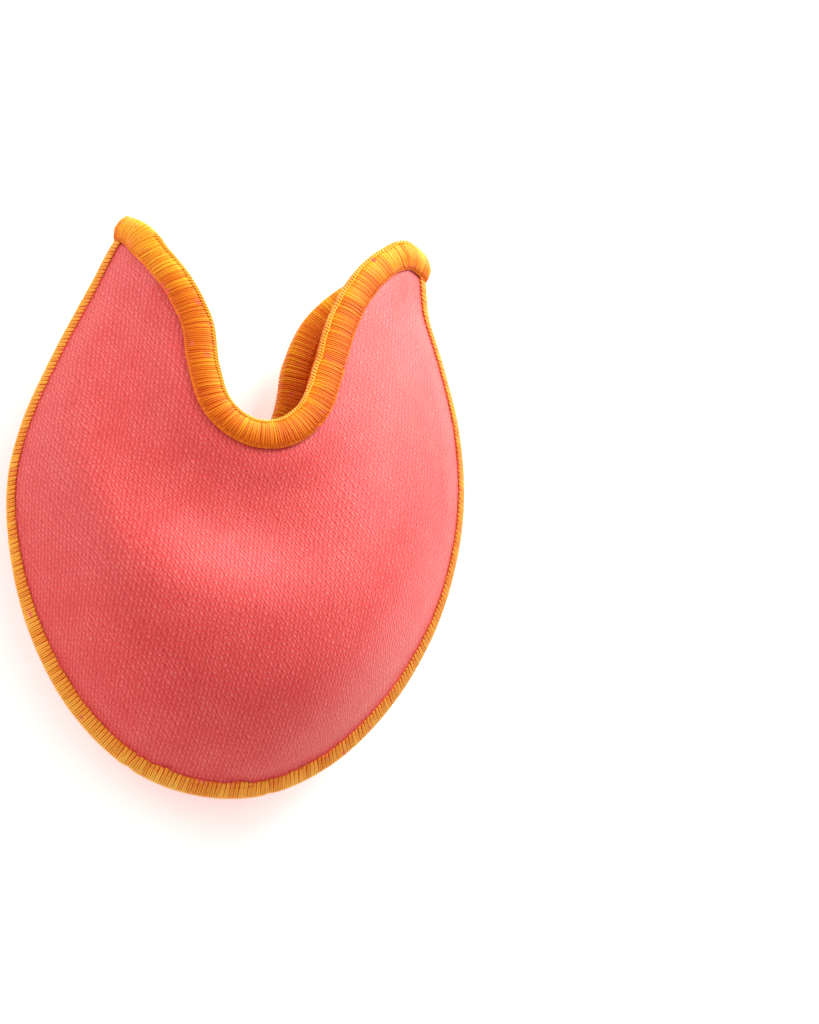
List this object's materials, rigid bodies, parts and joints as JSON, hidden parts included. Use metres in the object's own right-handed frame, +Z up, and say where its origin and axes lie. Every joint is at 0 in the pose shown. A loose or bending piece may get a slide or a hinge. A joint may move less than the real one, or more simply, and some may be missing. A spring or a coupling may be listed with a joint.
{
  "type": "pointe shoe toe pad",
  "caption": "Soft hollow toe pad for a pointe shoe: domed padded knit panels sewn together round the toe, with thread-covered edges and a deep open notch between the ears.",
  "frame": {"origin": "on the surface that the pad lies on, under the middle of the back panel's flat underside", "axes": "+Z up through the front panel, +Y from the toe towards the mouth, +X to the right ear as the picture sees it"},
  "size_m": [0.0977, 0.1272, 0.0361],
  "materials": {
    "front_knit": "matt coral knit over thin foam, with an orange lining",
    "back_knit": "matt coral knit over thin foam, with an orange lining",
    "seam_thread": "orange-yellow overlock thread with a soft sheen",
    "mouth_thread": "orange-yellow overlock thread with a soft sheen"
  },
  "bodies": {
    "root": {"front_panel": "front_knit", "back_panel": "back_knit", "seam_edging": "seam_thread", "mouth_edging": "mouth_thread"}
  },
  "joints": []
}
